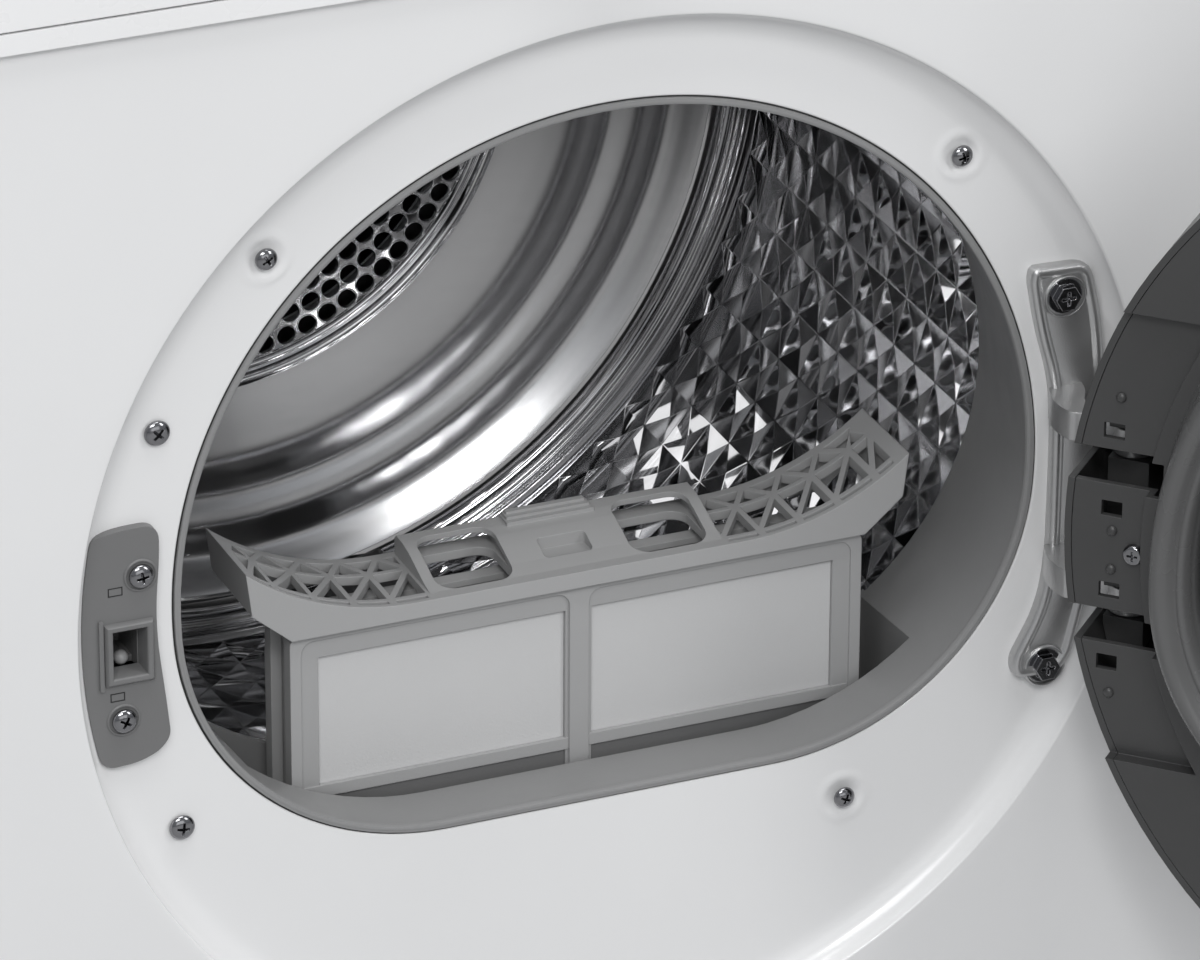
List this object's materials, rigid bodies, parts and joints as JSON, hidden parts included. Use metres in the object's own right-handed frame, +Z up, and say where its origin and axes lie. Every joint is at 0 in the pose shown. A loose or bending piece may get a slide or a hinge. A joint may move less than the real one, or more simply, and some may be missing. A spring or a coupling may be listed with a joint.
{
  "type": "clothes dryer",
  "caption": "Front-loading heat pump clothes dryer with a hinged round door, turning steel drum, lift-out lint filter, water tank drawer, control knob and screw feet.",
  "frame": {"origin": "on the floor under the middle of the cabinet, with the feet screwed right in", "axes": "+X right and +Y back as seen by someone facing the dryer, +Z up; the drum turns about Y"},
  "size_m": [0.8422, 1.0078, 0.845],
  "materials": {
    "dark_plastic": "moulded base plastic, fine grain",
    "white_paint": "glossy white powder coat",
    "zinc_steel": "galvanised steel",
    "white_laminate": "white laminate top with rounded plastic edge",
    "white_plastic": "satin white moulded plastic",
    "black_glass": "glossy near-black tinted glass",
    "knob_metal": "satin metallised plastic",
    "circuit_board": "green circuit board with dark components",
    "grey_plastic": "grey moulded plastic",
    "duct_plastic": "mid grey satin moulded plastic",
    "black_rubber": "black rubber",
    "felt": "dense wool felt",
    "drum_steel": "polished stainless steel with a pyramid emboss",
    "charcoal_plastic": "dark charcoal satin plastic",
    "cast_metal": "grey die-cast zinc, satin paint",
    "black_paint": "black enamel",
    "aluminium_fin": "bare aluminium fins",
    "copper": "copper tube",
    "screw_steel": "zinc-plated screw steel",
    "latch_plastic": "dark grey moulded plastic",
    "bezel_plastic": "dark grey satin moulded plastic",
    "filter_plastic": "light grey moulded plastic",
    "filter_screen": "pale fine woven polyester screen"
  },
  "bodies": {
    "cabinet": {"base_tray": "dark_plastic", "side_panel_left": "white_paint", "side_panel_right": "white_paint", "rear_panel": "zinc_steel", "front_panel": "white_paint", "top_cover": "white_laminate", "control_fascia": "white_plastic", "display_window": "black_glass", "control_board": "circuit_board", "tank_housing": "grey_plastic", "front_duct_ring": "duct_plastic", "drum_seal": "felt", "rear_bulkhead": "zinc_steel", "shaft_bearing": "cast_metal", "drive_belt": "black_rubber", "motor": "zinc_steel", "fan_housing": "grey_plastic", "compressor": "black_paint", "evaporator": "aluminium_fin", "condenser": "aluminium_fin", "refrigerant_pipes": "copper", "drain_pump": "dark_plastic", "mains_inlet": "dark_plastic", "hinge_bracket": "cast_metal", "hinge_bolts": "screw_steel", "panel_screws": "screw_steel", "latch_plate": "latch_plastic"},
    "door": {"door_outer_ring": "charcoal_plastic", "door_inner_frame": "charcoal_plastic", "door_screws": "screw_steel", "door_bezel": "bezel_plastic", "door_window": "black_glass", "door_outer_glass": "black_glass", "door_hinge_leaf": "cast_metal", "hinge_pin": "screw_steel", "door_hook": "zinc_steel", "door_handle": "bezel_plastic"},
    "lint_filter": {"filter_head": "filter_plastic", "filter_front_frame": "filter_plastic", "filter_rear_frame": "filter_plastic", "filter_mesh": "filter_screen"},
    "drum": {"drum_shell": "drum_steel", "drum_back": "drum_steel", "drum_hub": "drum_steel", "drum_shaft": "zinc_steel", "drum_lifters": "charcoal_plastic"},
    "motor_rotor": {"motor_pulley": "zinc_steel", "fan_wheel": "grey_plastic"},
    "roller_left": {"drum_roller_left": "black_rubber"},
    "roller_right": {"drum_roller_right": "black_rubber"},
    "knob": {"program_knob": "knob_metal"},
    "tank": {"water_tank": "white_plastic"},
    "flap": {"access_flap": "white_plastic"},
    "power_key": {"power_button": "knob_metal"},
    "start_key": {"start_button": "knob_metal"},
    "catch": {"latch_catch": "latch_plastic"},
    "foot_fl": {"foot_front_left": "black_rubber"},
    "foot_fr": {"foot_front_right": "black_rubber"},
    "foot_rl": {"foot_rear_left": "black_rubber"},
    "foot_rr": {"foot_rear_right": "black_rubber"}
  },
  "joints": [
    {"name": "door_hinge", "type": "hinge", "parent": "cabinet", "child": "door", "pos_m": [0.2175, -0.336, 0.48], "axis": [0, 0, 1], "range_deg": [-135, 10]},
    {"name": "filter_slide", "type": "slide", "parent": "cabinet", "child": "lint_filter", "axis": [0, 0, 1], "range_m": [-0.091, 0.06]},
    {"name": "drum_spin", "type": "hinge", "parent": "cabinet", "child": "drum", "pos_m": [0, 0, 0.485], "axis": [0, 1, 0], "continuous": true},
    {"name": "motor_spin", "type": "hinge", "parent": "cabinet", "child": "motor_rotor", "pos_m": [0.185, 0.15, 0.15], "axis": [0, 1, 0], "continuous": true},
    {"name": "roller_left_spin", "type": "hinge", "parent": "cabinet", "child": "roller_left", "pos_m": [-0.16794, -0.187, 0.24515], "axis": [0, 1, 0], "continuous": true},
    {"name": "roller_right_spin", "type": "hinge", "parent": "cabinet", "child": "roller_right", "pos_m": [0.16794, -0.187, 0.24515], "axis": [0, 1, 0], "continuous": true},
    {"name": "knob_turn", "type": "hinge", "parent": "cabinet", "child": "knob", "pos_m": [-0.01, -0.31, 0.782], "axis": [0, -1, 0], "continuous": true},
    {"name": "tank_slide", "type": "slide", "parent": "cabinet", "child": "tank", "axis": [0, -1, 0], "range_m": [0, 0.4]},
    {"name": "flap_hinge", "type": "hinge", "parent": "cabinet", "child": "flap", "pos_m": [-0.14, -0.297, 0.049], "axis": [1, 0, 0], "range_deg": [0, 95]},
    {"name": "power_press", "type": "slide", "parent": "cabinet", "child": "power_key", "axis": [0, 1, 0], "range_m": [0, 0.002], "stiffness_N_per_m": 400},
    {"name": "start_press", "type": "slide", "parent": "cabinet", "child": "start_key", "axis": [0, 1, 0], "range_m": [0, 0.002], "stiffness_N_per_m": 400},
    {"name": "catch_press", "type": "slide", "parent": "cabinet", "child": "catch", "axis": [0, 0, -1], "range_m": [0, 0.004], "stiffness_N_per_m": 300},
    {"name": "foot_front_left_screw", "type": "slide", "parent": "cabinet", "child": "foot_fl", "axis": [0, 0, -1], "range_m": [0, 0.015]},
    {"name": "foot_front_right_screw", "type": "slide", "parent": "cabinet", "child": "foot_fr", "axis": [0, 0, -1], "range_m": [0, 0.015]},
    {"name": "foot_rear_left_screw", "type": "slide", "parent": "cabinet", "child": "foot_rl", "axis": [0, 0, -1], "range_m": [0, 0.015]},
    {"name": "foot_rear_right_screw", "type": "slide", "parent": "cabinet", "child": "foot_rr", "axis": [0, 0, -1], "range_m": [0, 0.015]}
  ],
  "couplings": [
    {"joint": "motor_spin", "follows": "drum_spin", "ratio": 24.436},
    {"joint": "roller_left_spin", "follows": "drum_spin", "ratio": -10.7},
    {"joint": "roller_right_spin", "follows": "drum_spin", "ratio": -10.7}
  ]
}
